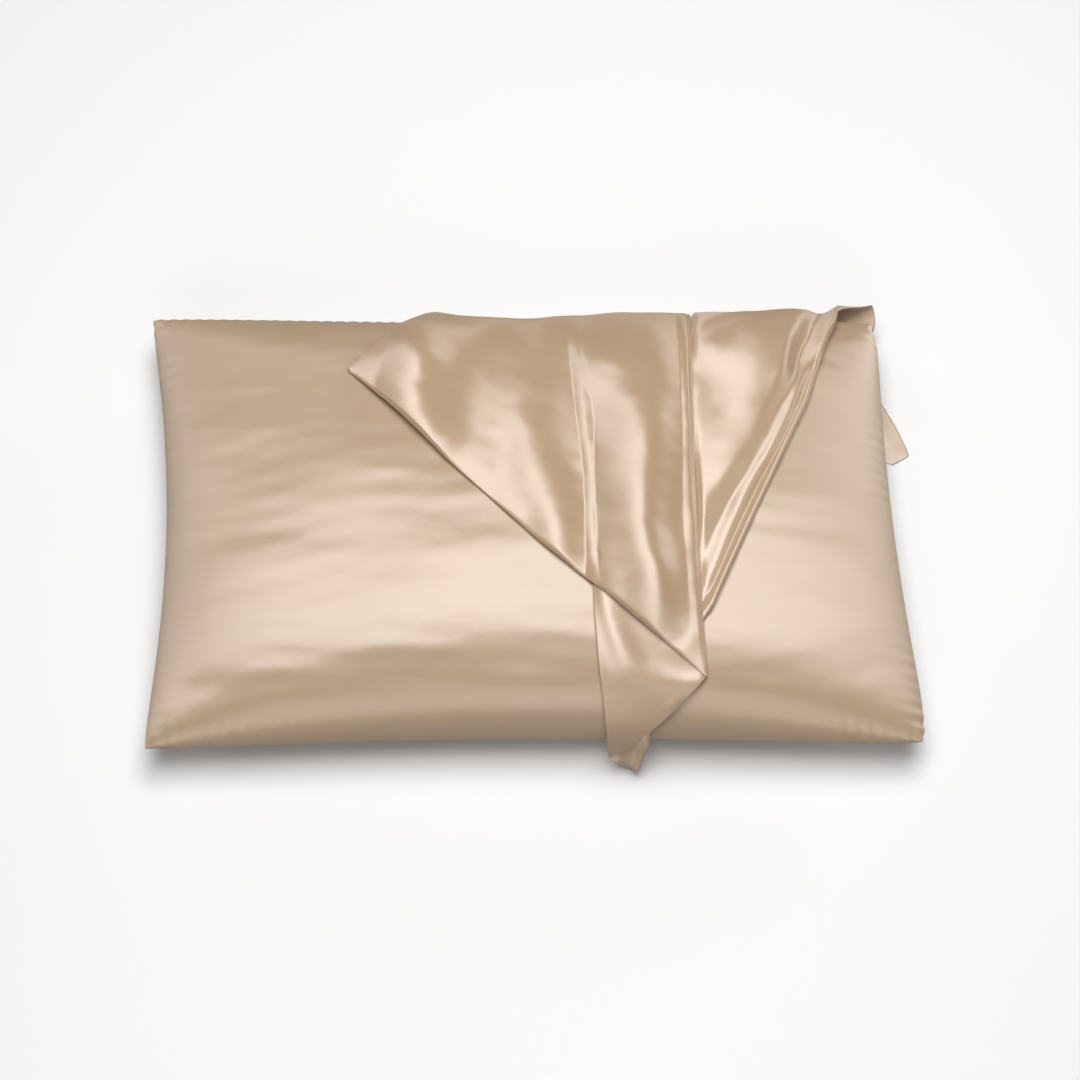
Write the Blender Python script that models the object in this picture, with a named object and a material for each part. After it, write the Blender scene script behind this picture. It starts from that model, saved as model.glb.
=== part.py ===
"""A satin pillowcase thrown diagonally over the far edge of a pillow in its own case.

Frame: origin in the middle of the pillow's flat underside, on the floor. X runs along the
pillow's long side, Y across it towards the edge that the loose case falls over, Z up.
The loose case is a flat double bag, so its solid is one sheet of that thickness. It is
worked out in its own cloth: "down" is the length of cloth from the pillow's far rim, up over
the rim and down the face towards the near rim, and less than zero behind the far rim.
"""
import math

import bpy
import numpy as np

MM = 0.001

# ---- the pillow in its case
NEAR_LEFT = (-0.367, -0.237)       # corners of the seam, seen from above
NEAR_RIGHT = (0.388, -0.233)
FAR_LEFT = (-0.392, 0.239)
FAR_RIGHT = (0.366, 0.237)
DRAWN_IN_LEFT = 21 * MM            # how far the middle of each side is drawn in
DRAWN_IN_RIGHT = 11 * MM
DRAWN_IN_NEAR = 12 * MM
DRAWN_IN_FAR = 12 * MM
CORNER_ROUNDING = (0.010, 0.022)   # share of the half size lost at a left, a right corner
CORNER_SHARPNESS = 10
SEAM_HEIGHT = 56 * MM
SEAM_BAND = 2 * MM                 # the two edges of cloth, sewn together
CROWN_ABOVE_SEAM = 86 * MM
BELLY_BELOW_SEAM = 64 * MM         # pressed flat where it would pass the floor
FULLNESS_POWER = 2.5
PILLOW_CELLS = (36, 24)            # along X and along Y

# ---- the loose case
SHEET = 2 * MM                     # both layers of satin, lying together
LAYER_STEP = 3.5 * MM              # from one folded layer to the next
LOWEST_LAYER = 1.6 * MM            # middle of the lowest layer above the pillow
RIM_CLEARANCE = 2 * MM             # more room where it goes over a rim
BLUNT_CORNER = 3 * MM
PLEAT_RISE = (-34 * MM, -4 * MM)   # beside the left fold, where the front rises on the pleat
FOLD_MARGIN = 6 * MM               # ridges in the front fade out this close to its right fold
PANEL_MARGIN = (5 * MM, 21 * MM)   # right of that fold, where the panel's relief comes in
ROPE_WIDTH = 15 * MM               # the rolled hem along the right-hand edge
ROPE_HEIGHT = 8 * MM
ROPE_ROUNDNESS = 0.7
ROPE_AT_RIM = 0.4                  # share of its height that it has at the far rim
ROPE_LIFT = 16 * MM                # how far it stands off the pillow at the far rim
TAIL_LIFT = 9 * MM                 # how far the tail's end swings out from the near rim
FOLDED_BEHIND = -0.090             # where the folded layers end under the pillow

# Where each of these begins and where it is complete, in lengths of cloth from the far rim.
SETTLED_BEHIND_RIM = (0, -0.040)
ROPE_FILLED_OUT = (0, 0.090)
ROPE_LIFTED = (0.110, 0.020)
ROPE_LAID_DOWN = (-0.004, -0.038)
CLEAR_OF_FAR_RIM = (0.120, 0.060)
CLEAR_OF_NEAR_RIM = (0.400, 0.450)
TAIL_SWUNG_OUT = (0.500, 0.570)

# The same as shares of the way across the panel.
LIFTED_ACROSS = (0.45, 0.95)
ON_FLOOR_ACROSS = (0.5, 0.7)

# How finely the sheet is cut into columns and rows.
FRONT_CELLS = ((-0.177, 16), (0.023, 16))     # columns, from this X on
PLEAT_COLUMNS = 7
PANEL_COLUMNS = 15
ROPE_COLUMNS = 4
TURN_STEPS = 4
FACE_ROWS = 21                     # from the lower end to the top of the face
RIM_ROWS = 17                      # from there over the rim to the upper end
FACE_TOP = 0.100
SHORT_FACE = 0.3                   # share of a short column that is above its face

# The way over the pillow and in under it
FLOOR_BASE = LOWEST_LAYER + 2 * LAYER_STEP + RIM_CLEARANCE + SHEET / 2
FLOOR_TURN = 8 * MM
FLOOR_REACH = 0.2
CHART_X = (-0.190, 0.405)
CHART_DOWN = (-0.200, 0.600)
CHART_STEP = (6 * MM, 2 * MM)
FACE_SAMPLES = 181
FOOT_SAMPLES = 7
ROW_SAMPLES = 800
CROWDED_ROWS = ((-0.045, 0.06, 0.10), (0.505, 0.14, 0.10))   # middle, width, extra share

# The front's long edge, from the free left corner to where the cloth turns under.
LONG_EDGE = (
    # X        down
    (-0.177,   0.122),
    (-0.073,   0.232),
    (0.023,    0.324),
    (0.171,    0.444),
)
SHORT_EDGE_SLOPE = 1.087           # the edge that runs from that corner over the far rim

# The folds that run down the face, as X against the length of cloth from the far rim.
FOLD_LINES = (
    # down    right fold  left fold  rope edge
    (-0.170,  0.168,      0.042,     0.394),
    (-0.090,  0.168,      0.042,     0.380),
    (-0.012,  0.168,      0.042,     0.362),
    (0.015,   0.168,      0.042,     0.322),
    (0.064,   0.166,      0.046,     0.303),
    (0.146,   0.163,      0.054,     0.278),
    (0.246,   0.162,      0.064,     0.235),
    (0.386,   0.166,      0.066,     0.173),
    (0.430,   0.169,      0.070,     0.149),
    (0.470,   0.171,      0.075,     0.130),
    (0.500,   0.171,      0.078,     0.121),
    (0.600,   0.171,      0.086,     0.102),
)

# Where the third layer, which becomes the right-hand panel, ends in front and behind, from
# the left fold (across 0) to the rope edge (across 1).
PANEL_ENDS = (
    # across  in front  behind
    (0.00,    0.538,    -0.090),
    (0.45,    0.548,    -0.090),
    (0.60,    0.556,    -0.140),
    (0.86,    0.562,    -0.182),
    (1.00,    0.562,    -0.172),
)

# Soft ridges in the cloth.
RIDGES = (
    # layer   line of (X, down)                                               half width  height
    ("front", ((-0.108, 0.047), (-0.132, 0.120), (-0.114, 0.175), (-0.083, 0.217)), 11 * MM, 3 * MM),
    ("front", ((-0.090, 0.012), (-0.035, 0.008)), 24 * MM, 6 * MM),
    ("front", ((0.044, 0.074), (0.055, 0.176), (0.064, 0.254), (0.067, 0.350)), 8 * MM, 3.5 * MM),
    ("front", ((0.122, 0.100), (0.109, 0.261), (0.116, 0.389)), 14 * MM, 4 * MM),
    ("front", ((0.157, 0.050), (0.152, 0.200), (0.154, 0.300), (0.158, 0.400)), 7 * MM, 2.5 * MM),
    ("panel", ((0.257, 0.085), (0.225, 0.158), (0.190, 0.215)), 11 * MM, 4 * MM),
    ("panel", ((0.285, 0.064), (0.258, 0.139), (0.209, 0.236), (0.190, 0.280)), 7 * MM, 4 * MM),
)

SATIN = (0.78, 0.66, 0.50)
SATIN_ROUGHNESS = 0.35


def lerp(a, b, t):
    return a + (b - a) * t


def unit(vectors):
    return vectors / np.linalg.norm(vectors, axis=-1, keepdims=True)


def smooth_step(t):
    t = np.clip(t, 0, 1)
    return t * t * (3 - 2 * t)


def ramp(value, begins, complete):
    return smooth_step((value - begins) / (complete - begins))


# ---------------------------------------------------------------- the pillow's form

def left_and_right(v):
    """X of the two short sides at v, from -1 at the near side to 1 at the far side."""
    way = (v + 1) / 2
    left = lerp(NEAR_LEFT[0], FAR_LEFT[0], way) + DRAWN_IN_LEFT * (1 - v * v)
    right = lerp(NEAR_RIGHT[0], FAR_RIGHT[0], way) - DRAWN_IN_RIGHT * (1 - v * v)
    return left, right


def near_and_far(u):
    """Y of the two long sides at u, from -1 at the left to 1 at the right."""
    way = (u + 1) / 2
    near = lerp(NEAR_LEFT[1], NEAR_RIGHT[1], way) + DRAWN_IN_NEAR * (1 - u * u)
    far = lerp(FAR_LEFT[1], FAR_RIGHT[1], way) - DRAWN_IN_FAR * (1 - u * u)
    return near, far


def crown(u, v):
    full_u = np.clip(1 - np.abs(u) ** FULLNESS_POWER, 0, None)
    full_v = np.clip(1 - np.abs(v) ** FULLNESS_POWER, 0, None)
    return np.sqrt(full_u * full_v)


def pillow_plan(u, v):
    left, right = left_and_right(v)
    near, far = near_and_far(u)
    rounding = lerp(*CORNER_ROUNDING, (u + 1) / 2)
    u_in = u * (1 - rounding * np.abs(v) ** CORNER_SHARPNESS)
    v_in = v * (1 - rounding * np.abs(u) ** CORNER_SHARPNESS)
    return lerp(left, right, (u_in + 1) / 2), lerp(near, far, (v_in + 1) / 2)


def pillow_top(u, v):
    x, y = pillow_plan(u, v)
    z = SEAM_HEIGHT + SEAM_BAND / 2 + CROWN_ABOVE_SEAM * crown(u, v)
    return np.stack([x, y, z], axis=-1)


def pillow_underside(u, v):
    x, y = pillow_plan(u, v)
    z = np.maximum(0, SEAM_HEIGHT - SEAM_BAND / 2 - BELLY_BELOW_SEAM * crown(u, v))
    return np.stack([x, y, z], axis=-1)


def across_at(x, v):
    """The u at which the pillow is at this x."""
    left, right = left_and_right(v)
    u = 2 * (x - left) / (right - left) - 1
    rounding = lerp(*CORNER_ROUNDING, (u + 1) / 2)
    return u / (1 - rounding * np.abs(v) ** CORNER_SHARPNESS)


# ---------------------------------------------------------------- the loose case's form

def chart_path(x):
    """The way that cloth takes at this x: in under the pillow, up behind it, over the face
    and down the near side. Gives its points as Y and Z, and how far down the cloth each is."""
    v = np.cos(np.linspace(0, math.pi, FACE_SAMPLES))
    u = np.clip(across_at(x, v), -1, 1)
    face = pillow_top(u, v)[:, 1:]
    y = face[:, 0]
    turn = np.linspace(0, math.pi / 2, FOOT_SAMPLES)
    turn_y = y[0] - FLOOR_TURN * (1 - np.cos(turn))
    turn_z = FLOOR_BASE + FLOOR_TURN * (1 - np.sin(turn))
    foot = np.stack([turn_y, turn_z], axis=-1)
    tuck = [[y[0] - FLOOR_REACH, FLOOR_BASE]]
    behind = np.concatenate([foot, tuck])[::-1]
    path = np.concatenate([behind, face, [[y[-1], -FLOOR_REACH]]])
    steps = np.linalg.norm(np.diff(path, axis=0), axis=1)
    down = np.concatenate([[0], np.cumsum(steps)])
    return path, down - down[len(behind)]


def drape_chart():
    """Points on the pillow, and the directions away from it, at steps of X and of cloth."""
    x = np.arange(*CHART_X, CHART_STEP[0])
    down = np.arange(*CHART_DOWN, CHART_STEP[1])
    points = np.zeros((len(x), len(down), 3))
    for i, place in enumerate(x):
        path, along = chart_path(place)
        points[i, :, 0] = place
        points[i, :, 1] = np.interp(down, along, path[:, 0])
        points[i, :, 2] = np.interp(down, along, path[:, 1])
    return points, unit(np.cross(np.gradient(points, axis=1), np.gradient(points, axis=0)))


def on_chart(chart, x, down, height):
    """Where cloth is that lies at x and this far down, this high above the pillow."""
    points, away = chart
    i = np.clip((x - CHART_X[0]) / CHART_STEP[0], 0, points.shape[0] - 1.001)
    j = np.clip((down - CHART_DOWN[0]) / CHART_STEP[1], 0, points.shape[1] - 1.001)
    i0, j0 = i.astype(int), j.astype(int)
    a, b = (i - i0)[..., None], (j - j0)[..., None]

    def between(table):
        left = lerp(table[i0, j0], table[i0, j0 + 1], b)
        right = lerp(table[i0 + 1, j0], table[i0 + 1, j0 + 1], b)
        return lerp(left, right, a)

    return between(points) + between(away) * height[..., None]


def from_table(table, column, at):
    rows = np.array(table)
    return np.interp(at, rows[:, 0], rows[:, column])


def right_fold(down):
    return from_table(FOLD_LINES, 1, down)


def left_fold(down):
    return from_table(FOLD_LINES, 2, down)


def rope_edge(down):
    return from_table(FOLD_LINES, 3, down)


def crowded(low, high, count):
    """Steps of cloth from one length to another, shorter where it rounds a bend."""
    down = np.linspace(*CHART_DOWN, ROW_SAMPLES)
    spread = down.copy()
    for middle, width, extra in CROWDED_ROWS:
        spread += extra * smooth_step((down - middle) / width + 0.5)
    ends = np.interp((low, high), down, spread)
    return np.interp(np.linspace(*ends, count + 1), spread, down)


def rows_between(low, high):
    """The rows of one column. Above the face they are level with those of its neighbours."""
    top = max(FACE_TOP, lerp(high, low, SHORT_FACE))
    return np.concatenate([crowded(low, top, FACE_ROWS)[:-1], crowded(top, high, RIM_ROWS)])


def ridge_height(layer, x, down):
    height = np.zeros_like(x)
    for on_layer, line, half_width, rise in RIDGES:
        if on_layer != layer:
            continue
        nearest = np.full_like(x, np.inf)
        for (x0, down0), (x1, down1) in zip(line, line[1:]):
            run_x, run_down = x1 - x0, down1 - down0
            along = ((x - x0) * run_x + (down - down0) * run_down) / (run_x ** 2 + run_down ** 2)
            along = np.clip(along, 0, 1)
            off = np.hypot(x - x0 - along * run_x, down - down0 - along * run_down)
            nearest = np.minimum(nearest, off)
        height += rise * np.exp(-(nearest / half_width) ** 2)
    return height


def in_layer(layer):
    return LOWEST_LAYER + layer * LAYER_STEP


def behind_rim(down):
    return ramp(down, *SETTLED_BEHIND_RIM)


def front_height(x, down):
    """Layer 0 on the pillow, rising to layer 2 over the pleat and on the floor."""
    over_pleat = ramp(x - left_fold(down), *PLEAT_RISE)
    clear_of_fold = ramp(right_fold(down) - x, 0, FOLD_MARGIN)
    height = in_layer(2 * np.maximum(over_pleat, behind_rim(down)))
    return height + clear_of_fold * ridge_height("front", x, down)


def panel_height(x, down, across):
    """Layer 0 on the pillow with the rolled hem along its edge, and layer 2 on the floor."""
    clear_of_fold = ramp(x - right_fold(down), *PANEL_MARGIN)
    from_edge = np.clip((rope_edge(down) - x) / ROPE_WIDTH, 0, 1)
    filled_out = lerp(ROPE_AT_RIM, 1, ramp(down, *ROPE_FILLED_OUT))
    rope = ROPE_HEIGHT * filled_out * np.sin(math.pi * from_edge) ** ROPE_ROUNDNESS
    lift = ROPE_LIFT * ramp(across, *LIFTED_ACROSS) * ramp(down, *ROPE_LIFTED)
    lift *= 1 - ramp(down, *ROPE_LAID_DOWN)
    relief = lift + (rope + ridge_height("panel", x, down)) * (1 - behind_rim(down))
    on_floor = behind_rim(down) * ramp(across, *ON_FLOOR_ACROSS)
    return in_layer(2 * on_floor) + clear_of_fold * relief


def rim_clearance(down):
    return RIM_CLEARANCE * np.maximum(ramp(down, *CLEAR_OF_FAR_RIM), ramp(down, *CLEAR_OF_NEAR_RIM))


def tail_lift(down):
    return TAIL_LIFT * ramp(down, *TAIL_SWUNG_OUT)


def front_columns():
    left, fold = LONG_EDGE[0][0], LONG_EDGE[-1][0]
    (start, wide), (dense, narrow) = FRONT_CELLS
    places = np.concatenate([np.linspace(start, dense, wide, endpoint=False),
                             np.linspace(dense, fold, narrow + 1)])
    for place in places:
        low = from_table(LONG_EDGE, 1, place)
        high = LONG_EDGE[0][1] - BLUNT_CORNER - (place - left) * SHORT_EDGE_SLOPE
        down = rows_between(low, max(high, FOLDED_BEHIND))
        x = lerp(left, right_fold(down), (place - left) / (fold - left))
        yield x, down, front_height(x, down)


def turn_columns(fold, low, upper_layer, outward):
    """The rounded turn from one layer down to the next, beside a fold."""
    for k in range(1, TURN_STEPS):
        angle = math.pi * k / TURN_STEPS
        down = rows_between(low, FOLDED_BEHIND)
        x = fold(down) + outward * LAYER_STEP / 2 * math.sin(angle)
        height = in_layer(upper_layer - 0.5 + math.cos(angle) / 2)
        yield x, down, np.full_like(x, height)


def pleat_columns():
    for k in range(PLEAT_COLUMNS + 1):
        across = k / PLEAT_COLUMNS
        down = rows_between(lerp(LONG_EDGE[-1][1], PANEL_ENDS[0][1], across), FOLDED_BEHIND)
        x = lerp(right_fold(down), left_fold(down), across)
        yield x, down, np.full_like(x, in_layer(1))


def panel_columns():
    rope_share = 1 - PANEL_ENDS[-2][0]
    for k in range(PANEL_COLUMNS + ROPE_COLUMNS + 1):
        in_panel = min(k / PANEL_COLUMNS, 1)
        in_rope = max(k - PANEL_COLUMNS, 0) / ROPE_COLUMNS
        across = in_panel * (1 - rope_share) + in_rope * rope_share
        down = rows_between(from_table(PANEL_ENDS, 1, across), from_table(PANEL_ENDS, 2, across))
        x = lerp(left_fold(down), rope_edge(down) - ROPE_WIDTH, in_panel) + ROPE_WIDTH * in_rope
        yield x, down, panel_height(x, down, across)


def case_columns():
    """X, down and height of each point of the sheet's middle: a row of them for each column,
    from the free left corner to the rope edge, back and forth through both folds."""
    columns = [*front_columns(), *turn_columns(right_fold, LONG_EDGE[-1][1], 2, 1),
               *pleat_columns(), *turn_columns(left_fold, PANEL_ENDS[0][1], 1, -1),
               *panel_columns()]
    x, down, height = (np.array(part) for part in zip(*columns))
    return x, down, height + rim_clearance(down) + tail_lift(down)


def sheet_normals(points):
    along = np.gradient(points, axis=1)
    across = np.gradient(points, axis=0)
    return unit(np.cross(across, along))


# ---------------------------------------------------------------- meshes

def satin(name):
    material = bpy.data.materials.new(name)
    material.use_nodes = True
    shader = material.node_tree.nodes["Principled BSDF"]
    shader.inputs["Base Color"].default_value = (*SATIN, 1)
    shader.inputs["Roughness"].default_value = SATIN_ROUGHNESS
    material.diffuse_color = (*SATIN, 1)
    return material


def add_object(name, verts, faces, material):
    mesh = bpy.data.meshes.new(name)
    mesh.from_pydata([tuple(v) for v in verts], [], faces)
    mesh.validate()
    mesh.shade_smooth()
    mesh.materials.append(material)
    body = bpy.data.objects.new(name, mesh)
    bpy.context.collection.objects.link(body)
    return body


def grid_faces(index, verts, flip=False):
    """Triangles between the rows of an array of vertex numbers, split along the shorter
    diagonal of each cell."""
    faces = []
    for i in range(index.shape[0] - 1):
        for j in range(index.shape[1] - 1):
            a, b, c, d = (int(n) for n in (index[i, j], index[i + 1, j],
                                           index[i + 1, j + 1], index[i, j + 1]))
            ac, bd = np.linalg.norm(verts[a] - verts[c]), np.linalg.norm(verts[b] - verts[d])
            pair = [(a, b, c), (a, c, d)] if ac < bd else [(a, b, d), (b, c, d)]
            faces += [face[::-1] for face in pair] if flip else pair
    return faces


def closed_solid(name, upper, lower, material):
    """The solid between two grids of points, closed by a band round their rims."""
    over = np.arange(upper.shape[0] * upper.shape[1]).reshape(upper.shape[:2])
    under = over + over.size
    verts = np.concatenate([upper.reshape(-1, 3), lower.reshape(-1, 3)])
    faces = grid_faces(over, verts) + grid_faces(under, verts, flip=True)
    for a, b in ((under[0], over[0]), (over[-1], under[-1]), (over[:, 0], under[:, 0]),
                 (under[:, -1], over[:, -1])):
        faces += grid_faces(np.stack([a, b]), verts)
    return add_object(name, verts, faces, material)


def pillow_in_case():
    u, v = (np.sin(np.linspace(-math.pi / 2, math.pi / 2, cells + 1)) for cells in PILLOW_CELLS)
    u, v = np.meshgrid(u, v, indexing="ij")
    closed_solid("pillow_in_case", pillow_top(u, v), pillow_underside(u, v), satin("pillow satin"))


def draped_case():
    middle = on_chart(drape_chart(), *case_columns())
    half = sheet_normals(middle) * SHEET / 2
    closed_solid("draped_case", middle + half, middle - half, satin("loose satin"))


def main():
    for old in list(bpy.data.objects):
        bpy.data.objects.remove(old)
    pillow_in_case()
    draped_case()


main()
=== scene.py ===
"""Looks of a satin pillowcase thrown diagonally over the far edge of a pillow in its own case.

Metres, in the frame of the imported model: origin in the middle of the pillow's flat underside,
X along its long side, Y across it towards the edge that the loose case falls over, Z up.
The loose case is worked out in its own cloth: "down" is the length of cloth from the pillow's
far rim, up over the rim and down the face, and less than zero behind the far rim.
"""
import math

import bpy
import numpy as np
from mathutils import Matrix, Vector


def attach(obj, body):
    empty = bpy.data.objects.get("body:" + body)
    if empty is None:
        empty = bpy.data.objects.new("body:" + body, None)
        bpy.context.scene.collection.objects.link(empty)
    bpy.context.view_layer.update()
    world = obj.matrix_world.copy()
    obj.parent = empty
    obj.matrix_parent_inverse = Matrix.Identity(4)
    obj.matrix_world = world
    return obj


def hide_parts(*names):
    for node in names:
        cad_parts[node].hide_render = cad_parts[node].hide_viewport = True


MM = 0.001

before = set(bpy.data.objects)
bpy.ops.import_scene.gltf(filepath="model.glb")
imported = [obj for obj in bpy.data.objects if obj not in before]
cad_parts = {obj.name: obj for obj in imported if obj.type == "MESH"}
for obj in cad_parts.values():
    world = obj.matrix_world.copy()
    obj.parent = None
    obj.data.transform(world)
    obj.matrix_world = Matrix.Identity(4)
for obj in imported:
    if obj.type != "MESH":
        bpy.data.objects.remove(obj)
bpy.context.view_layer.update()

# ---- the pillow in its case
NEAR_LEFT = (-0.367, -0.237)       # corners of the seam, seen from above
NEAR_RIGHT = (0.388, -0.233)
FAR_LEFT = (-0.392, 0.239)
FAR_RIGHT = (0.366, 0.237)
DRAWN_IN_LEFT = 21 * MM            # how far the middle of each side is drawn in
DRAWN_IN_RIGHT = 11 * MM
DRAWN_IN_NEAR = 12 * MM
DRAWN_IN_FAR = 12 * MM
CORNER_ROUNDING = (0.010, 0.022)   # share of the half size lost at a left, a right corner
CORNER_SHARPNESS = 10
SEAM_HEIGHT = 56 * MM
SEAM_BAND = 2 * MM                 # the two edges of cloth, sewn together
CROWN_ABOVE_SEAM = 86 * MM
BELLY_BELOW_SEAM = 64 * MM         # pressed flat where it would pass the floor
FULLNESS_POWER = 2.5
PILLOW_CELLS = (230, 160)          # along X and along Y

# Waves in the case of the pillow. Each row is what waves() takes, with the direction that
# they travel in as degrees from X.
RIPPLES = (
    # length    turned  spread  height      count  seed
    (27 * MM,   90,     7,      0.10 * MM,  12,    3),
    (60 * MM,   88,     9,      0.36 * MM,  10,    5),
    (170 * MM,  70,     50,     0.90 * MM,  8,     8),
)
RIPPLES_BEGIN = (0, 60 * MM)       # in from the seam: where they begin and are complete
PUCKERS = (15 * MM, 0, 0, 0.45 * MM, 6, 21)    # the same kind of row, along the seam
PUCKERS_BEGIN = (0, 5 * MM)
PUCKER_FADE = 12 * MM              # how far in they are down to about a third
GATHERS = (
    # side  Y           spread    added there, as a share of the puckers' depth
    (1,     60 * MM,    40 * MM,  2.2),
    (-1,    118 * MM,   12 * MM,  2.0),
    (-1,    4 * MM,     12 * MM,  2.0),
)
BY_THE_SIDE = 0.8                  # share of the half length beyond which the gathers are

# ---- the loose case
SHEET = 1.2 * MM                   # both layers of satin, lying together
LAYER_STEP = 1.7 * MM              # from one folded layer to the next, on the face
TIGHT_STEP = 1.5 * MM              # the same where they are pulled over the far rim
LOWEST_LAYER = 2.7 * MM            # middle of the lowest layer above the pillow
RIM_CLEARANCE = 1.5 * MM           # more room where it goes over a rim
BLUNT_CORNER = 2 * MM
PLEAT_RISE = (-8 * MM, 1 * MM)     # beside the left fold, where the front rises on the pleat
PLEAT_SPREAD = (-30 * MM, 10 * MM) # the same nearer the far rim, where it hardly shows
FOLD_MARGIN = 4 * MM               # ridges in the front fade out this close to its right fold
PANEL_MARGIN = (1.0 * MM, 6 * MM)  # right of that fold, where the panel's relief comes in
EDGE_SETTLES = 0.5                 # share of the ridges' rise that the long edge loses
EDGE_BAND = 3 * MM                 # how far in from that edge they begin to lose it
HEM_BAND = 15 * MM                 # the rolled hem along the right-hand edge
HEM_RADIUS = 2.6 * MM
HEM_GAP = 0.4 * MM                 # under the roll
HEM_TURN = (-70, 215)              # degrees round the roll, from the panel's side
GROOVE_SHARE = 0.35                # share of the band in the groove beside the roll
GROOVE_POWER = 3                   # how suddenly the cloth turns up out of it
TAIL_LIFT = 9 * MM                 # how far the tail's end swings out from the near rim
FOLDED_BEHIND = -0.090             # where the folded layers end under the pillow
LOOSE_WAVES = (                    # rows for waves(), as above
    # length    turned  spread  height      count  seed
    (50 * MM,   30,     60,     0.30 * MM,  9,     31),
    (24 * MM,   60,     60,     0.07 * MM,  9,     37),
)
LOOSE_WAVES_LIFT = 0.7 * MM        # keeps their troughs off the layer below

# Where each of these begins and where it is complete, in lengths of cloth from the far rim.
SETTLED_BEHIND_RIM = (0, -0.040)
LAYERS_LOOSE = (0, 0.110)
PLEAT_SHOWS = (0.080, 0.180)
HEM_ROLLED = (0.008, 0.035)
HEM_COMES_OUT = (0.495, 0.520)
CLEAR_OF_FAR_RIM = (0.120, 0.060)
CLEAR_OF_NEAR_RIM = (0.400, 0.450)
TAIL_SWUNG_OUT = (0.500, 0.570)

# The same as shares of the way across the panel.
ON_FLOOR_ACROSS = (0.5, 0.7)

# How finely the sheet is cut into columns and rows.
FRONT_COLUMNS = 140
PLEAT_COLUMNS = 34
PANEL_COLUMNS = 72
HEM_COLUMNS = 20
TURN_STEPS = 6
ROWS = 170
EDGE_STEPS = (0, 0.25 * MM, 0.7 * MM, 1.4 * MM, 2.6 * MM)
SHORT_COLUMN = 20 * MM             # in shorter columns these steps shrink
EDGE_ROUND = 1.2 * MM
EDGE_LEAST = 0.02                  # what is left of the thickness at the very edge, squared

# How the threads lie, in degrees from X: along the long edge in front, flatter in the pleat,
# whose ridge runs out to the right, and in the panel along the rope edge. They turn in these
# columns, as shares of all of them.
FRONT_GRAIN = 43
PLEAT_GRAIN = 32
PANEL_GRAIN = 98
TURNS_TO_PLEAT = (0.505, 0.525)
TURNS_TO_PANEL = (0.69, 0.80)

# The way over the pillow and in under it, and the chart of it.
FLOOR_BASE = LOWEST_LAYER + 2 * TIGHT_STEP + RIM_CLEARANCE + SHEET / 2
FLOOR_TURN = 8 * MM                # radius of the turn from the floor up behind the rim
BEYOND_CLOTH = 0.2                 # how far the way goes on past the cloth, at both its ends
CHART_X = (-0.190, 0.405)
CHART_DOWN = (-0.200, 0.600)
CHART_STEP = (3 * MM, 1 * MM)      # of X and of cloth
FACE_SAMPLES = 361
FOOT_SAMPLES = 13

# Where rows and columns are closer together, because the cloth bends more.
CROWDING_REACH = (-0.2, 0.6)
CROWDING_SAMPLES = 800
CROWDED_ROWS = (
    # middle  width  extra steps, in metres of plain ones
    (-0.045,  0.06,  0.06),
    (0.505,   0.14,  0.06),
)
CROWDED_COLUMNS = (
    # middle  width  extra
    (0.057,   0.05,  0.06),
    (0.156,   0.03,  0.04),
)

# The front's long edge, from the free left corner to where the cloth turns under.
LONG_EDGE = (
    # X        down
    (-0.177,   0.122),
    (-0.073,   0.232),
    (0.023,    0.324),
    (0.171,    0.444),
)
SHORT_EDGE_SLOPE = 1.087           # the edge that runs from that corner over the far rim

# The folds that run down the face, as X against the length of cloth from the far rim.
FOLD_LINES = (
    # down    right fold  left fold  rope edge
    (-0.190,  0.168,      0.042,     0.394),
    (-0.168,  0.168,      0.042,     0.398),
    (-0.140,  0.168,      0.042,     0.388),
    (-0.110,  0.168,      0.042,     0.374),
    (-0.090,  0.168,      0.042,     0.367),
    (-0.050,  0.168,      0.042,     0.362),
    (-0.018,  0.168,      0.042,     0.367),
    (-0.004,  0.168,      0.042,     0.362),
    (0.006,   0.168,      0.042,     0.332),
    (0.015,   0.168,      0.042,     0.322),
    (0.064,   0.166,      0.046,     0.303),
    (0.146,   0.163,      0.054,     0.278),
    (0.246,   0.162,      0.064,     0.235),
    (0.386,   0.166,      0.066,     0.173),
    (0.430,   0.169,      0.070,     0.149),
    (0.470,   0.171,      0.075,     0.130),
    (0.500,   0.171,      0.078,     0.121),
    (0.600,   0.171,      0.086,     0.102),
)

# Where the third layer, which becomes the right-hand panel, ends in front and behind, from
# the left fold (across 0) to the rope edge (across 1).
PANEL_ENDS = (
    # across  in front  behind
    (0.00,    0.544,    -0.090),
    (0.45,    0.554,    -0.090),
    (0.60,    0.558,    -0.140),
    (0.86,    0.562,    -0.182),
    (1.00,    0.562,    -0.172),
)

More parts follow.
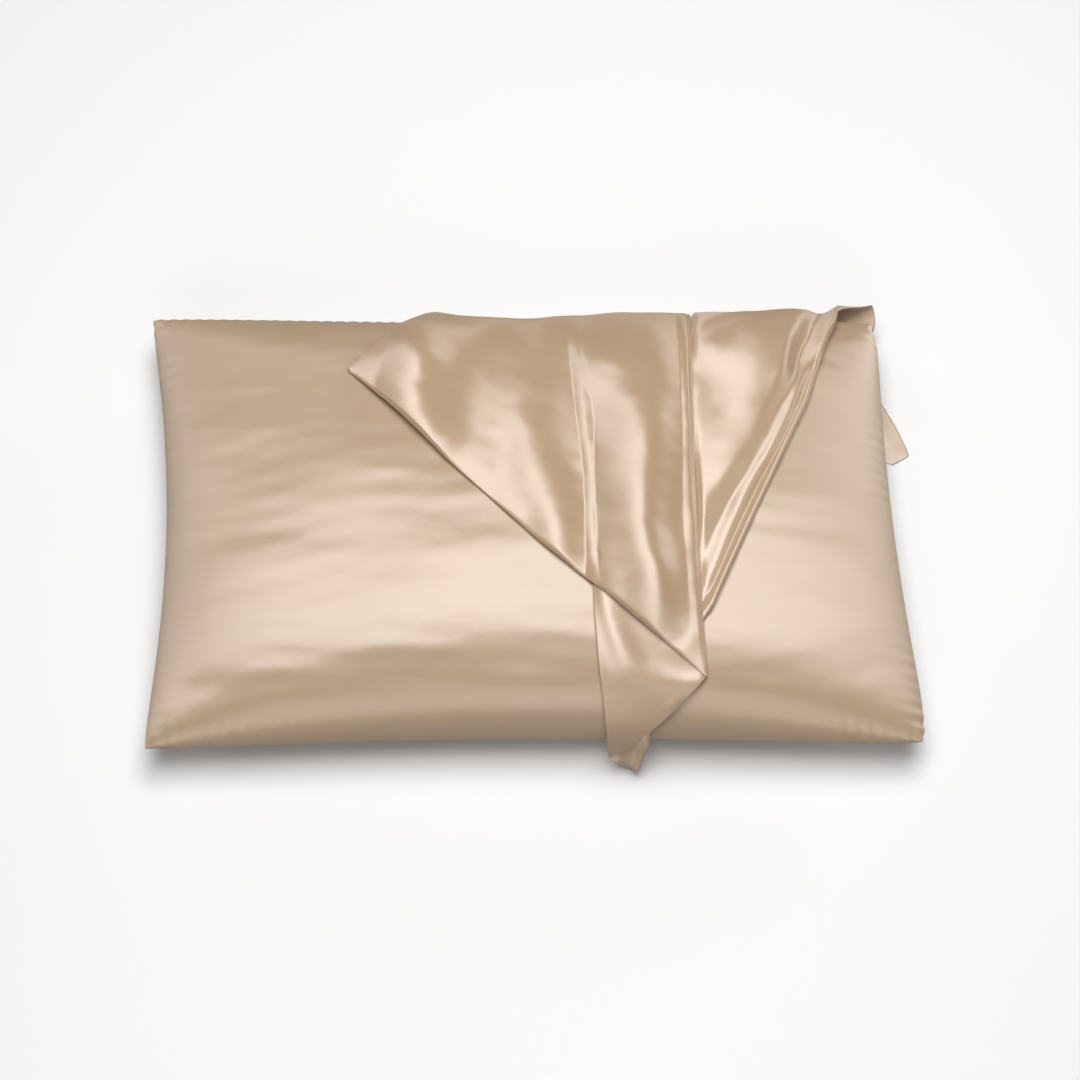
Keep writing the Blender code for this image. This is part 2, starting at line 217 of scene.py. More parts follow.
# Ridges in the cloth: whether each runs out softly or ends in a sharp foot, to the left and
# to the right of its line, and then the line's points. Each point is X, down, and in
# millimetres the rise and how far the ridge reaches to the left and to the right there. Left
# and right are as seen from in front, for a line whose points run down the cloth.
SOFT, SHARP = 0, 1
CREST_ROUND = 0.5                  # how round the crest above a sharp foot is
FRONT_FOLDS = (
    # the raised left corner: a broad rise from the left, and a steeper one added to it
    (SHARP, SOFT, (
        (-0.096, 0.010, 3,   60, 40),
        (-0.098, 0.050, 6,   65, 38),
        (-0.100, 0.085, 10,  68, 34),
        (-0.105, 0.120, 12,  68, 30),
        (-0.109, 0.152, 8.5, 60, 28),
        (-0.107, 0.178, 7.5, 48, 26),
        (-0.099, 0.198, 7,   40, 26),
        (-0.088, 0.215, 4,   34, 26))),
    (SHARP, SOFT, (
        (-0.098, 0.050, 1,   36, 38),
        (-0.100, 0.085, 7,   36, 34),
        (-0.105, 0.120, 11,  38, 30),
        (-0.109, 0.152, 9,   40, 28),
        (-0.107, 0.178, 6,   30, 26),
        (-0.099, 0.198, 4,   17, 26),
        (-0.088, 0.215, 2,   14, 26))),
    # the low bulge of the outline where the cloth goes over the far rim
    (SOFT, SOFT, (
        (-0.115, -0.012, 4, 14, 14),
        (-0.060, -0.012, 7, 14, 14),
        (-0.030, -0.012, 6, 14, 14),
        (0.005, -0.012,  1, 14, 14))),
    # the ridge in the middle of the left part
    (SOFT, SOFT, (
        (-0.010, 0.060, 0,  24, 30),
        (-0.008, 0.110, 3,  24, 30),
        (-0.004, 0.160, 2.5, 20, 28),
        (0.000, 0.200, 3.5, 17, 28),
        (0.010, 0.250, 6,   24, 28),
        (0.024, 0.290, 7.5, 24, 26),
        (0.032, 0.330, 7,   20, 22))),
    # the short sharp ridge over the pleat's left fold
    (SHARP, SOFT, (
        (0.055, 0.070, 0,   16, 40),
        (0.059, 0.100, 3.5, 16, 40),
        (0.062, 0.130, 5,   16, 40),
        (0.064, 0.160, 3,   16, 40),
        (0.066, 0.190, 0.5, 16, 40))),
    # the long high ridge over the pleat
    (SHARP, SOFT, (
        (0.119, 0.000, 1,   60, 30),
        (0.120, 0.050, 4,   60, 34),
        (0.121, 0.085, 8,   66, 34),
        (0.121, 0.120, 12,  66, 34),
        (0.122, 0.160, 15,  62, 32),
        (0.116, 0.200, 20,  50, 32),
        (0.112, 0.250, 20,  46, 29),
        (0.110, 0.300, 18,  42, 27),
        (0.114, 0.330, 19,  46, 26),
        (0.120, 0.350, 20,  52, 24),
        (0.121, 0.376, 15,  52, 22),
        (0.119, 0.400, 8.5, 50, 22),
        (0.113, 0.420, 3,   44, 20))),
    # the narrow ridge beside the right fold, bent to the left at its lower end
    (SHARP, SOFT, (
        (0.160, 0.020, 0,    7, 9),
        (0.1595, 0.060, 2.5, 7, 9),
        (0.159, 0.113, 3.6,  7, 9),
        (0.158, 0.160, 3.6,  7, 9),
        (0.158, 0.198, 2.8,  7, 9),
        (0.157, 0.250, 2.0,  7, 9),
        (0.157, 0.300, 1.3,  7, 9),
        (0.159, 0.350, 1.5,  7, 9),
        (0.161, 0.380, 0.6,  7, 9),
        (0.161, 0.402, 0.7,  7, 9),
        (0.151, 0.418, 2.0,  8, 9),
        (0.136, 0.426, 1.6,  8, 8),
        (0.120, 0.428, 0.5,  8, 8))),
)
PLEAT_FOLDS = (
    # the ridge that comes down along the left fold and bends out to the right corner
    (SOFT, SOFT, (
        (0.071, 0.345, 2.5, 7,  16),
        (0.074, 0.370, 3.5, 7,  16),
        (0.080, 0.396, 4.5, 8,  14),
        (0.090, 0.421, 6,   11, 13),
        (0.103, 0.439, 7.5, 18, 12),
        (0.122, 0.448, 7,   24, 10.5),
        (0.144, 0.451, 5.5, 26, 9),
        (0.165, 0.450, 4.5, 24, 8))),
    # a small one at the lower right edge
    (SOFT, SOFT, (
        (0.130, 0.476, 0,   5, 5),
        (0.141, 0.466, 1.2, 5, 5),
        (0.150, 0.458, 0.6, 5, 5))),
)
PANEL_FOLDS = (
    # the panel's main ridge, falling steeply to the hem
    (SOFT, SHARP, (
        (0.300, -0.020, 4,  40,  16),
        (0.290, 0.005, 7,   45,  16),
        (0.279, 0.030, 9,   60,  16),
        (0.270, 0.055, 12,  85,  16),
        (0.259, 0.080, 15,  105, 16),
        (0.249, 0.120, 13,  90,  17),
        (0.232, 0.160, 5.5, 34,  17),
        (0.216, 0.200, 4.5, 24,  17),
        (0.184, 0.250, 5.5, 30,  20),
        (0.157, 0.300, 4,   30,  22),
        (0.139, 0.350, 2.5, 30,  22))),
    # the end that stands up at the far rim
    (SOFT, SOFT, (
        (0.300, 0.062, 2,   9,  9),
        (0.311, 0.032, 8,   9,  9),
        (0.321, 0.012, 11,  10, 10),
        (0.336, -0.004, 15, 12, 12),
        (0.352, -0.008, 20, 14, 12),
        (0.368, -0.010, 26, 14, 12))),
    # the narrow ridge beside the rolled hem
    (SOFT, SHARP, (
        (0.303, 0.040, 4,   9, 6),
        (0.300, 0.052, 4.5, 9, 6),
        (0.290, 0.080, 5,   9, 6),
        (0.273, 0.120, 5,   9, 6),
        (0.259, 0.160, 5,   9, 6),
        (0.242, 0.200, 5,   9, 6),
        (0.217, 0.250, 4.2, 9, 6),
        (0.195, 0.300, 3,   9, 6),
        (0.175, 0.350, 2.5, 9, 6),
        (0.169, 0.362, 2,   9, 6))),
    # the tail's end: a rim and the hollow above it
    (SOFT, SOFT, (
        (0.080, 0.547, 2.5, 6, 6),
        (0.100, 0.552, 2.5, 6, 6),
        (0.125, 0.554, 1.5, 6, 6))),
    (SOFT, SOFT, (
        (0.088, 0.537, -2,  6, 6),
        (0.120, 0.533, -2,  6, 6))),
)
SPLINE_STEPS = 12                  # samples between two of a line's points

# ---- finishes, as the two colours that each varies between
PILLOW_SATIN = ((0.48, 0.34, 0.213), (0.49, 0.345, 0.23))
LOOSE_SATIN = ((0.48, 0.328, 0.20), (0.50, 0.343, 0.222))
BLOTCH_RANGE = (0.38, 0.66)        # values of the noise at which they are reached
ROUGHNESS = (0.46, 0.52)           # least and most, from thread to thread
THREAD_CELLS = (90, 1400)          # to the metre, along the threads and across them
FLOOR_COLOR = (0.85, 0.85, 0.85)
FLOOR_ROUGHNESS = 0.9
FLOOR_HALF = 6                     # from its middle to its edges

# ---- light and camera
LIGHTS = (
    # name            place              faces            size        watts
    ("overhead",      (0.05, 0.1, 2.6),  (0, 0, 0.1),     (1.3, 2.0), 72),
    ("front fill",    (0, -2.6, 1.5),    (0, 0, 0.1),     (3, 1.6),   22),
    ("right window",  (2.2, 1.85, 0.6),  (0.1, 0, 0.1),   (1.0, 1.0), 17),
    ("left window",   (-1.6, 2.0, 0.9),  (-0.1, 0, 0.1),  (1.2, 1.0), 8),
)
WORLD_STRENGTH = 0.06
CAMERA_PLACE = (0.011, -0.965, 2.109)
CAMERA_TILT = 25                   # degrees from straight down
CAMERA_LENS = 75.73                # focal length in millimetres, on a sensor 36 wide
CAMERA_SHIFT = (0.0028, -0.0065)


# ---------------------------------------------------------------- small maths

def lerp(a, b, t):
    return a + (b - a) * t


def unit(vectors):
    return vectors / np.maximum(np.linalg.norm(vectors, axis=-1, keepdims=True), 1e-12)


def smooth_step(t):
    t = np.clip(t, 0, 1)
    return t * t * (3 - 2 * t)


def ramp(value, begins, complete):
    return smooth_step((value - begins) / (complete - begins))


def step_up(value, begins, complete):
    """The same with a sharp foot and a rounded top."""
    return np.sin(np.clip((value - begins) / (complete - begins), 0, 1) * math.pi / 2)


def spline(points):
    """A smooth line through the points, as many closely spaced ones."""
    p = np.array(points, float)
    p = np.concatenate([[2 * p[0] - p[1]], p, [2 * p[-1] - p[-2]]])
    t = np.linspace(0, 1, SPLINE_STEPS, endpoint=False)[:, None]
    pieces = []
    for a, b, c, d in zip(p, p[1:], p[2:], p[3:]):
        pieces.append(0.5 * (2 * b + (c - a) * t + (2 * a - 5 * b + 4 * c - d) * t ** 2
                             + (3 * b - a - 3 * c + d) * t ** 3))
    return np.concatenate([*pieces, p[-2:-1]])


def waves(x, y, length, turned, spread, height, count, seed):
    """Uneven waves: this many even ones of nearly the same length and direction, added up."""
    chance = np.random.default_rng(seed)
    total = np.zeros_like(x)
    for _ in range(count):
        angle = math.radians(turned + chance.normal() * spread)
        pitch = 2 * math.pi / (length * chance.uniform(0.8, 1.25))
        phase = chance.uniform(0, 2 * math.pi)
        total += np.sin(pitch * (x * math.cos(angle) + y * math.sin(angle)) + phase)
    return height * total / math.sqrt(count / 2)


# ---------------------------------------------------------------- the pillow's form

def left_and_right(v):
    """X of the two short sides at v, from -1 at the near side to 1 at the far side."""
    way = (v + 1) / 2
    left = lerp(NEAR_LEFT[0], FAR_LEFT[0], way) + DRAWN_IN_LEFT * (1 - v * v)
    right = lerp(NEAR_RIGHT[0], FAR_RIGHT[0], way) - DRAWN_IN_RIGHT * (1 - v * v)
    return left, right


def near_and_far(u):
    """Y of the two long sides at u, from -1 at the left to 1 at the right."""
    way = (u + 1) / 2
    near = lerp(NEAR_LEFT[1], NEAR_RIGHT[1], way) + DRAWN_IN_NEAR * (1 - u * u)
    far = lerp(FAR_LEFT[1], FAR_RIGHT[1], way) - DRAWN_IN_FAR * (1 - u * u)
    return near, far


def crown(u, v):
    full_u = np.clip(1 - np.abs(u) ** FULLNESS_POWER, 0, None)
    full_v = np.clip(1 - np.abs(v) ** FULLNESS_POWER, 0, None)
    return np.sqrt(full_u * full_v)


def pillow_plan(u, v):
    left, right = left_and_right(v)
    near, far = near_and_far(u)
    rounding = lerp(*CORNER_ROUNDING, (u + 1) / 2)
    u_in = u * (1 - rounding * np.abs(v) ** CORNER_SHARPNESS)
    v_in = v * (1 - rounding * np.abs(u) ** CORNER_SHARPNESS)
    return lerp(left, right, (u_in + 1) / 2), lerp(near, far, (v_in + 1) / 2)


def pillow_top(u, v):
    x, y = pillow_plan(u, v)
    z = SEAM_HEIGHT + SEAM_BAND / 2 + CROWN_ABOVE_SEAM * crown(u, v)
    return np.stack([x, y, z], axis=-1)


def pillow_underside(u, v):
    x, y = pillow_plan(u, v)
    z = np.maximum(0, SEAM_HEIGHT - SEAM_BAND / 2 - BELLY_BELOW_SEAM * crown(u, v))
    return np.stack([x, y, z], axis=-1)


def across_at(x, v):
    """The u at which the pillow is at this x."""
    left, right = left_and_right(v)
    u = 2 * (x - left) / (right - left) - 1
    rounding = lerp(*CORNER_ROUNDING, (u + 1) / 2)
    return u / (1 - rounding * np.abs(v) ** CORNER_SHARPNESS)


def seam_distance(x, y, u, v):
    """How far in from the seam, and how far along it."""
    left, right = left_and_right(v)
    near, far = near_and_far(u)
    sides = np.stack([x - left, right - x, y - near, far - y])
    along = np.stack([y, y + 1, x + 2, x + 3])    # a metre apart, so no two sides are alike
    nearest = np.argmin(sides, axis=0)
    return (np.take_along_axis(sides, nearest[None], 0)[0],
            np.take_along_axis(along, nearest[None], 0)[0])


# ---------------------------------------------------------------- the loose case's form

def chart_path(x):
    """The way that cloth takes at this x: in under the pillow, up behind it, over the face
    and down the near side. Gives its points as Y and Z, and how far down the cloth each is."""
    v = np.cos(np.linspace(0, math.pi, FACE_SAMPLES))
    u = np.clip(across_at(x, v), -1, 1)
    face = pillow_top(u, v)[:, 1:]
    y = face[:, 0]
    turn = np.linspace(0, math.pi / 2, FOOT_SAMPLES)
    turn_y = y[0] - FLOOR_TURN * (1 - np.cos(turn))
    turn_z = FLOOR_BASE + FLOOR_TURN * (1 - np.sin(turn))
    foot = np.stack([turn_y, turn_z], axis=-1)
    tuck = [[y[0] - BEYOND_CLOTH, FLOOR_BASE]]
    behind = np.concatenate([foot, tuck])[::-1]
    path = np.concatenate([behind, face, [[y[-1], -BEYOND_CLOTH]]])
    steps = np.linalg.norm(np.diff(path, axis=0), axis=1)
    down = np.concatenate([[0], np.cumsum(steps)])
    return path, down - down[len(behind)]


def drape_chart():
    """Points on the pillow, and the directions away from it, at steps of X and of cloth."""
    x = np.arange(*CHART_X, CHART_STEP[0])
    down = np.arange(*CHART_DOWN, CHART_STEP[1])
    points = np.zeros((len(x), len(down), 3))
    for i, place in enumerate(x):
        path, along = chart_path(place)
        points[i, :, 0] = place
        points[i, :, 1] = np.interp(down, along, path[:, 0])
        points[i, :, 2] = np.interp(down, along, path[:, 1])
    return points, unit(np.cross(np.gradient(points, axis=1), np.gradient(points, axis=0)))


def on_chart(chart, x, down, height):
    """Where cloth is that lies at x and this far down, this high above the pillow."""
    points, away = chart
    i = np.clip((x - CHART_X[0]) / CHART_STEP[0], 0, points.shape[0] - 1.001)
    j = np.clip((down - CHART_DOWN[0]) / CHART_STEP[1], 0, points.shape[1] - 1.001)
    i0, j0 = i.astype(int), j.astype(int)
    a, b = (i - i0)[..., None], (j - j0)[..., None]

    def between(table):
        left = lerp(table[i0, j0], table[i0, j0 + 1], b)
        right = lerp(table[i0 + 1, j0], table[i0 + 1, j0 + 1], b)
        return lerp(left, right, a)

    return between(points) + between(away) * height[..., None]


def from_table(table, column, at):
    rows = np.array(table)
    return np.interp(at, rows[:, 0], rows[:, column])


def right_fold(down):
    return from_table(FOLD_LINES, 1, down)


def left_fold(down):
    return from_table(FOLD_LINES, 2, down)


def rope_edge(down):
    return from_table(FOLD_LINES, 3, down)


def crowded(low, high, count, crowds):
    """Steps from one place to another, shorter where the cloth bends more."""
    place = np.linspace(*CROWDING_REACH, CROWDING_SAMPLES)
    spread = place.copy()
    for middle, width, extra in crowds:
        spread += extra * smooth_step((place - middle) / width + 0.5)
    ends = np.interp((low, high), place, spread)
    return np.interp(np.linspace(*ends, count + 1), spread, place)


def rows_between(low, high):
    """The rows of one column, closer together at its two ends."""
    edge = np.array(EDGE_STEPS) * min(1, (low - high) / SHORT_COLUMN)
    inner_rows = ROWS - 2 * (len(edge) - 1)
    inner = crowded(low - edge[-1], high + edge[-1], inner_rows, CROWDED_ROWS)
    return np.concatenate([low - edge[:-1], inner, (high + edge[:-1])[::-1]])


def falls_off(distance, width, foot):
    """From 1 on a ridge's line to 0 beside it, softly or straight down to a sharp foot."""
    share = distance / width
    highest = math.hypot(1, CREST_ROUND)
    straight = (highest - np.hypot(np.minimum(share, 1), CREST_ROUND)) / (highest - CREST_ROUND)
    return straight if foot == SHARP else np.exp(-share ** 2)


def relief(folds, x, down):
    """The rise of all these folds."""
    height = np.zeros_like(x)
    for left_foot, right_foot, line in folds:
        path = spline(line)
        nearest = np.full(x.shape, np.inf)
        side, rise, left, right = (np.zeros_like(x) for _ in range(4))
        for here, there in zip(path, path[1:]):
            run_x, run_down = (there - here)[:2]
            along = (x - here[0]) * run_x + (down - here[1]) * run_down
            along = np.clip(along / (run_x ** 2 + run_down ** 2), 0, 1)
            off_x, off_down = x - here[0] - along * run_x, down - here[1] - along * run_down
            off = np.hypot(off_x, off_down)
            closer = off < nearest
            nearest = np.where(closer, off, nearest)
            side = np.where(closer, off_x * run_down - off_down * run_x, side)
            rise = np.where(closer, lerp(here[2], there[2], along), rise)
            left = np.where(closer, lerp(here[3], there[3], along), left)
            right = np.where(closer, lerp(here[4], there[4], along), right)
        share = np.where(side > 0, falls_off(nearest, right * MM, right_foot),
                         falls_off(nearest, left * MM, left_foot))
        height += rise * MM * share
    return height


def in_layer(layer, down):
    """How high the middle of a layer is above the pillow; the lowest is layer 0."""
    return LOWEST_LAYER + layer * lerp(TIGHT_STEP, LAYER_STEP, ramp(down, *LAYERS_LOOSE))


def behind_rim(down):
    """From 0 at the far rim to 1 where the cloth has settled behind it."""
    return ramp(down, *SETTLED_BEHIND_RIM)


def unevenness(x, down):
    """Slight waves all over, lifted off the layer below."""
    return LOOSE_WAVES_LIFT + sum(waves(x, down, *row) for row in LOOSE_WAVES)


def front_height(x, down, long_edge):
    """Layer 0 on the pillow, rising to layer 2 over the pleat and on the floor. The ridges
    are lower at the long edge, which is this far down."""
    onto_pleat = x - left_fold(down)
    over_pleat = lerp(ramp(onto_pleat, *PLEAT_SPREAD), step_up(onto_pleat, *PLEAT_RISE),
                      ramp(down, *PLEAT_SHOWS))
    clear_of_fold = ramp(right_fold(down) - x, 0, FOLD_MARGIN)
    height = in_layer(2 * np.maximum(over_pleat, behind_rim(down)), down)
    height += over_pleat * relief(PLEAT_FOLDS, x, down)
    at_edge = 1 - EDGE_SETTLES * ramp(down - long_edge, -EDGE_BAND, 0)
    folds = (relief(FRONT_FOLDS, x, down) + unevenness(x, down)) * (1 - behind_rim(down))
    return height + clear_of_fold * at_edge * folds


def panel_height(x, down, across):
    """Layer 0 on the pillow, and layer 2 on the floor."""
    clear_of_fold = np.maximum(ramp(x - right_fold(down), *PANEL_MARGIN),
                               ramp(down, *HEM_COMES_OUT))
    folds = (relief(PANEL_FOLDS, x, down) + unevenness(x, down)) * (1 - behind_rim(down))
    on_floor = behind_rim(down) * ramp(across, *ON_FLOOR_ACROSS)
    return in_layer(2 * on_floor, down) + clear_of_fold * folds


def rim_clearance(down):
    by_far_rim = ramp(down, *CLEAR_OF_FAR_RIM)
    by_near_rim = ramp(down, *CLEAR_OF_NEAR_RIM)
    return RIM_CLEARANCE * np.maximum(by_far_rim, by_near_rim)


def tail_lift(down):
    return TAIL_LIFT * ramp(down, *TAIL_SWUNG_OUT)


def front_columns():
    left, fold = LONG_EDGE[0][0], LONG_EDGE[-1][0]
    for place in crowded(left, fold, FRONT_COLUMNS, CROWDED_COLUMNS):
        low = from_table(LONG_EDGE, 1, place)
        high = LONG_EDGE[0][1] - BLUNT_CORNER - (place - left) * SHORT_EDGE_SLOPE
        down = rows_between(low, max(high, FOLDED_BEHIND))
        x = lerp(left, right_fold(down), (place - left) / (fold - left))
        yield x, down, front_height(x, down, low)


def turn_columns(fold, low, upper_layer, outward):
    """The rounded turn from one layer down to the next, beside a fold."""
    for k in range(1, TURN_STEPS):
        angle = math.pi * k / TURN_STEPS
        down = rows_between(low, FOLDED_BEHIND)
        x = fold(down) + outward * (in_layer(0.5, down) - in_layer(0, down)) * math.sin(angle)
        yield x, down, in_layer(upper_layer - 0.5 + math.cos(angle) / 2, down)


def pleat_columns():
    for k in range(PLEAT_COLUMNS + 1):
        across = k / PLEAT_COLUMNS
        down = rows_between(lerp(LONG_EDGE[-1][1], PANEL_ENDS[0][1], across), FOLDED_BEHIND)
        x = lerp(right_fold(down), left_fold(down), across)
        clear_of_right = ramp(right_fold(down) - x, 0, FOLD_MARGIN)
        clear_of_left = ramp(x - left_fold(down), 0, FOLD_MARGIN)
        folds = clear_of_right * clear_of_left * relief(PLEAT_FOLDS, x, down)
        yield x, down, in_layer(1, down) + folds


def panel_columns():
    """The third layer and the panel, and then the hem, which is their last band of columns."""
    band_share = 1 - PANEL_ENDS[-2][0]
    for k in range(PANEL_COLUMNS + HEM_COLUMNS + 1):
        in_panel = min(k / PANEL_COLUMNS, 1)
        in_band = max(k - PANEL_COLUMNS, 0) / HEM_COLUMNS
        across = in_panel * (1 - band_share) + in_band * band_share
        down = rows_between(from_table(PANEL_ENDS, 1, across), from_table(PANEL_ENDS, 2, across))
        joins = rope_edge(down) - HEM_BAND
        if in_band == 0:
            x = lerp(left_fold(down), joins, in_panel)
            yield x, down, panel_height(x, down, across)
            continue
        flat_x = joins + HEM_BAND * in_band
        in_sight = np.maximum(ramp(flat_x - right_fold(down), *PANEL_MARGIN),
                              ramp(down, *HEM_COMES_OUT))
        rolled = ramp(down, *HEM_ROLLED) * in_sight
        in_groove = min(in_band / GROOVE_SHARE, 1)
        turn = np.radians(lerp(*HEM_TURN, max(0, in_band - GROOVE_SHARE) / (1 - GROOVE_SHARE)))
        roll_x = rope_edge(down) - HEM_RADIUS + HEM_RADIUS * np.sin(turn)
        roll_height = (HEM_RADIUS * (1 + np.cos(turn)) + HEM_GAP) * in_groove ** GROOVE_POWER
        x = lerp(flat_x, lerp(joins, roll_x, in_groove), rolled)
        yield x, down, panel_height(x, down, across) + roll_height * rolled


def case_columns():
    """X, down and height of each point of the sheet's middle: a row of them for each column,
    from the free left corner to the rope edge, back and forth through both folds."""
    columns = [*front_columns(), *turn_columns(right_fold, LONG_EDGE[-1][1], 2, 1),
               *pleat_columns(), *turn_columns(left_fold, PANEL_ENDS[0][1], 1, -1),
               *panel_columns()]
    x, down, height = (np.array(part) for part in zip(*columns))
    return x, down, height + rim_clearance(down) + tail_lift(down)


def run_along(points, axis):
    """How far each point is along its line of points, from the line's start."""
    steps = np.linalg.norm(np.diff(points, axis=axis), axis=-1)
    start = np.zeros_like(np.take(steps, [0], axis=axis))
    return np.concatenate([start, np.cumsum(steps, axis=axis)], axis=axis)


def sheet_normals(points):
    along = np.gradient(points, axis=1)
    across = np.gradient(points, axis=0)
    return unit(np.cross(across, along))


# ---------------------------------------------------------------- meshes

def grid_quads(index, flip=False):
    a, b = index[:-1, :-1], index[1:, :-1]
    c, d = index[1:, 1:], index[:-1, 1:]
    quads = np.stack([a, b, c, d], axis=-1).reshape(-1, 4)
    return quads[:, ::-1] if flip else quads


def closed_solid(name, upper, lower, cloth, material):
    """The solid between two grids of points, closed by a band round their rims. "cloth" is
    where each point is in the flat cloth, for the weave."""
    over = np.arange(upper.shape[0] * upper.shape[1]).reshape(upper.shape[:2])
    under = over + over.size
    verts = np.concatenate([upper.reshape(-1, 3), lower.reshape(-1, 3)])
    quads = [grid_quads(over), grid_quads(under, flip=True)]
    band = ((under[0], over[0]), (over[-1], under[-1]),
            (over[:, 0], under[:, 0]), (under[:, -1], over[:, -1]))
    quads += [grid_quads(np.stack(sides)) for sides in band]
    quads = np.concatenate(quads)
    mesh = bpy.data.meshes.new(name)
    mesh.from_pydata(verts.tolist(), [], quads.tolist())
    mesh.shade_smooth()
    places = np.concatenate([cloth.reshape(-1, 2)] * 2)
    corners = np.zeros(len(mesh.loops), np.int32)
    mesh.loops.foreach_get("vertex_index", corners)
    layer = mesh.uv_layers.new(name="cloth")
    layer.data.foreach_set("uv", places[corners].astype(np.float32).ravel())
    mesh.materials.append(material)
    piece = bpy.data.objects.new(name, mesh)
    bpy.context.collection.objects.link(piece)
    return piece


def pillow_in_case(material):
    u, v = (np.sin(np.linspace(-math.pi / 2, math.pi / 2, cells + 1)) for cells in PILLOW_CELLS)
    u, v = np.meshgrid(u, v, indexing="ij")
    top = pillow_top(u, v)
    x, y = top[..., 0], top[..., 1]
    inward, along = seam_distance(x, y, u, v)
    ripples = sum(waves(x, y, *row) for row in RIPPLES)
    puckers = waves(along, np.zeros_like(along), *PUCKERS)
    puckers *= np.exp(-inward / PUCKER_FADE) * ramp(inward, *PUCKERS_BEGIN)
    for side, middle, spread, added in GATHERS:
        by_this_side = u * side > BY_THE_SIDE
        puckers *= 1 + added * np.exp(-((y - middle) / spread) ** 2) * by_this_side
    rise = ripples * ramp(inward, *RIPPLES_BEGIN) + puckers
    upper = top + sheet_normals(top) * rise[..., None]
    cloth = np.stack([x, run_along(top, 1)], axis=-1)
    return closed_solid("satin_pillow", upper, pillow_underside(u, v), cloth, material)


def draped_case(material):
    x, down, height = case_columns()
    middle = on_chart(drape_chart(), x, down, height)
    rows, columns = run_along(middle, 1), run_along(middle, 0)
    edge = np.minimum(np.minimum(rows, rows[:, -1:] - rows),
                      np.minimum(columns, columns[-1:] - columns))
    to_edge = 1 - np.clip(edge / EDGE_ROUND, 0, 1)
    round_off = np.sqrt(np.clip(1 - to_edge ** 2, EDGE_LEAST, 1))
    half = sheet_normals(middle) * (SHEET / 2 * round_off)[..., None]
    share = np.linspace(0, 1, len(middle))[:, None]
    grain = lerp(lerp(FRONT_GRAIN, PLEAT_GRAIN, ramp(share, *TURNS_TO_PLEAT)), PANEL_GRAIN,
                 ramp(share, *TURNS_TO_PANEL))
    grain = np.radians(grain)
    cloth = np.stack([columns * np.cos(grain) + down * np.sin(grain),
                      down * np.cos(grain) - columns * np.sin(grain)], axis=-1)
    return closed_solid("draped_satin_case", middle + half, middle - half, cloth, material)


# ---------------------------------------------------------------- materials

def satin(name, color, pinker):
    """Satin whose gloss is drawn out one way by its threads, and which varies faintly between
    the two colours."""
    material = bpy.data.materials.new(name)
    material.use_nodes = True
    nodes, links = material.node_tree.nodes, material.node_tree.links
    shader = nodes["Principled BSDF"]
    shader.inputs["Specular IOR Level"].default_value = 1.0
    shader.inputs["IOR"].default_value = 1.85
    shader.inputs["Metallic"].default_value = 0.05
    shader.inputs["Anisotropic"].default_value = 0.9
    shader.inputs["Sheen Weight"].default_value = 0.04
    shader.inputs["Sheen Roughness"].default_value = 0.4

    def node(kind, **inputs):
        made = nodes.new(kind)
        for key, value in inputs.items():
            made.inputs[key].default_value = value
        return made

    place = node("ShaderNodeTexCoord")
    cloth = nodes.new("ShaderNodeUVMap")
    cloth.uv_map = "cloth"
    tangent = nodes.new("ShaderNodeTangent")
    tangent.direction_type = "UV_MAP"
    tangent.uv_map = "cloth"
    links.new(tangent.outputs["Tangent"], shader.inputs["Tangent"])

    blotches = node("ShaderNodeTexNoise", Scale=11.0, Detail=3.0, Roughness=0.5)
    links.new(place.outputs["Object"], blotches.inputs["Vector"])
    tint = nodes.new("ShaderNodeValToRGB")
    for stop, position, shade in zip(tint.color_ramp.elements, BLOTCH_RANGE, (color, pinker)):
        stop.position = position
        stop.color = (*shade, 1)
    links.new(blotches.outputs["Fac"], tint.inputs["Fac"])
    links.new(tint.outputs["Color"], shader.inputs["Base Color"])

    stretch = nodes.new("ShaderNodeMapping")
    stretch.inputs["Scale"].default_value = (*THREAD_CELLS, 1)
    links.new(cloth.outputs["UV"], stretch.inputs["Vector"])
    threads = node("ShaderNodeTexNoise", Scale=1.0, Detail=2.0, Roughness=0.6)
    links.new(stretch.outputs["Vector"], threads.inputs["Vector"])
    gloss = node("ShaderNodeMapRange")
    gloss.inputs["To Min"].default_value, gloss.inputs["To Max"].default_value = ROUGHNESS
    links.new(threads.outputs["Fac"], gloss.inputs["Value"])
    links.new(gloss.outputs["Result"], shader.inputs["Roughness"])

    crumple = node("ShaderNodeTexNoise", Scale=46.0, Detail=2.0, Roughness=0.5)
    links.new(place.outputs["Object"], crumple.inputs["Vector"])
    soft = node("ShaderNodeBump", Strength=0.12, Distance=2.5 * MM)
    links.new(crumple.outputs["Fac"], soft.inputs["Height"])
    weave = node("ShaderNodeBump", Strength=0.10, Distance=0.1 * MM)
    links.new(threads.outputs["Fac"], weave.inputs["Height"])
    links.new(soft.outputs["Normal"], weave.inputs["Normal"])
    links.new(weave.outputs["Normal"], shader.inputs["Normal"])
    return material


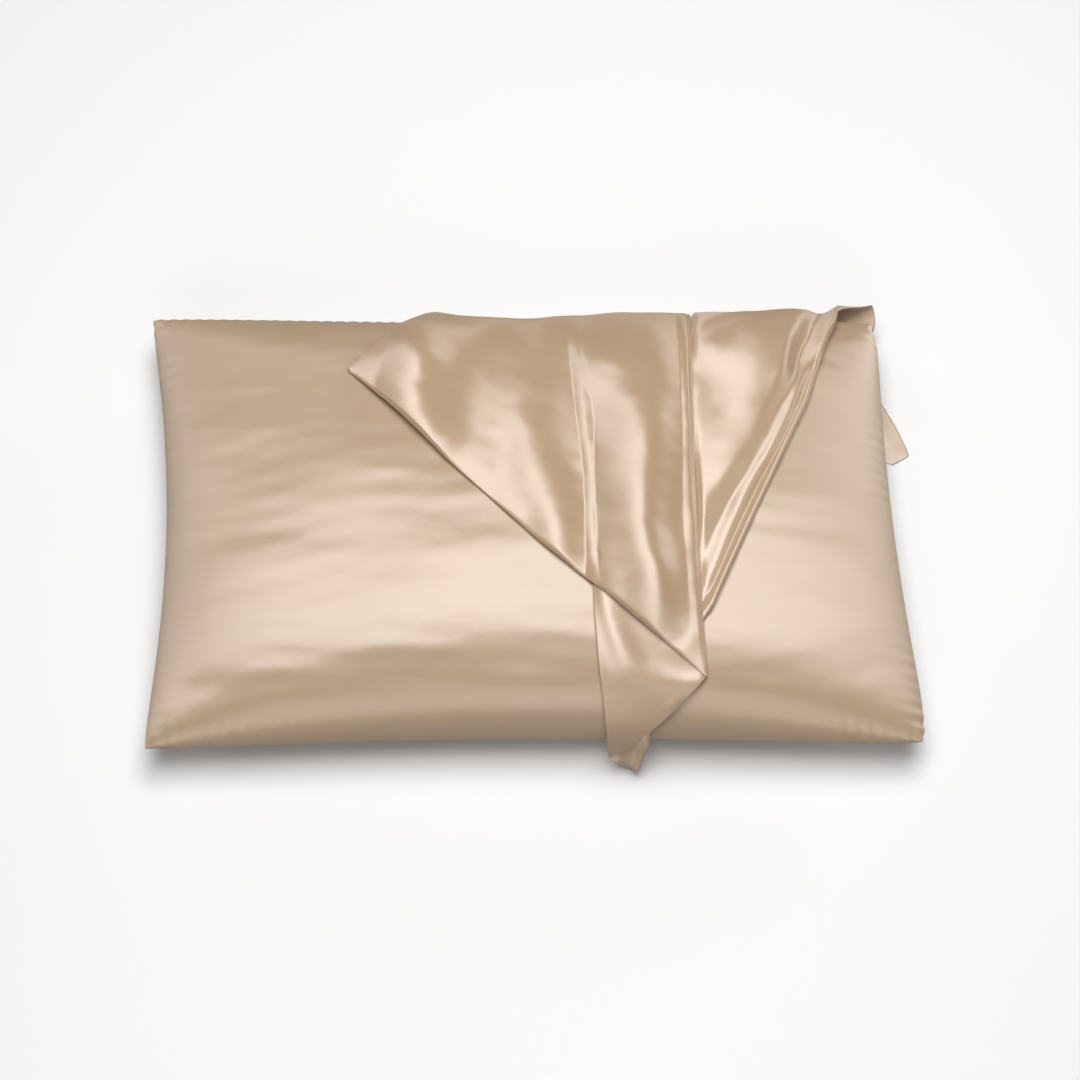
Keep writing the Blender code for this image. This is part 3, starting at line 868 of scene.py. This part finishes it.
def plain(name, color, roughness):
    material = bpy.data.materials.new(name)
    material.use_nodes = True
    shader = material.node_tree.nodes["Principled BSDF"]
    shader.inputs["Base Color"].default_value = (*color, 1)
    shader.inputs["Roughness"].default_value = roughness
    return material


# ---------------------------------------------------------------- floor, light and camera

def floor():
    mesh = bpy.data.meshes.new("floor")
    signs = ((-1, -1), (1, -1), (1, 1), (-1, 1))
    mesh.from_pydata([(x * FLOOR_HALF, y * FLOOR_HALF, 0) for x, y in signs], [], [(0, 1, 2, 3)])
    mesh.materials.append(plain("pale floor", FLOOR_COLOR, FLOOR_ROUGHNESS))
    ground = bpy.data.objects.new("floor", mesh)
    bpy.context.collection.objects.link(ground)
    ground.visible_glossy = False   # a white floor would shine back from the cloth's underside


def softbox(name, place, faces, size, watts):
    light = bpy.data.lights.new(name, "AREA")
    light.shape = "RECTANGLE"
    light.size, light.size_y = size
    light.energy = watts
    lamp = bpy.data.objects.new(name, light)
    lamp.location = place
    backwards = Vector(place) - Vector(faces)
    lamp.rotation_euler = backwards.to_track_quat("Z", "Y").to_euler()
    bpy.context.collection.objects.link(lamp)


def lights():
    for row in LIGHTS:
        softbox(*row)
    world = bpy.data.worlds.new("studio")
    world.use_nodes = True
    background = world.node_tree.nodes["Background"]
    background.inputs["Color"].default_value = (1, 1, 1, 1)
    background.inputs["Strength"].default_value = WORLD_STRENGTH
    bpy.context.scene.world = world
    bpy.context.scene.view_settings.view_transform = "Standard"


def camera():
    lens = bpy.data.cameras.new("camera")
    lens.lens = CAMERA_LENS
    lens.sensor_width = 36
    lens.shift_x, lens.shift_y = CAMERA_SHIFT
    eye = bpy.data.objects.new("camera", lens)
    eye.location = CAMERA_PLACE
    eye.rotation_euler = (math.radians(CAMERA_TILT), 0, 0)
    bpy.context.collection.objects.link(eye)
    bpy.context.scene.camera = eye


camera()
lights()
floor()

pillow = pillow_in_case(satin("pillow satin", *PILLOW_SATIN))
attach(pillow, "root")
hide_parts("pillow_in_case")

case = draped_case(satin("loose satin", *LOOSE_SATIN))
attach(case, "root")
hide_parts("draped_case")
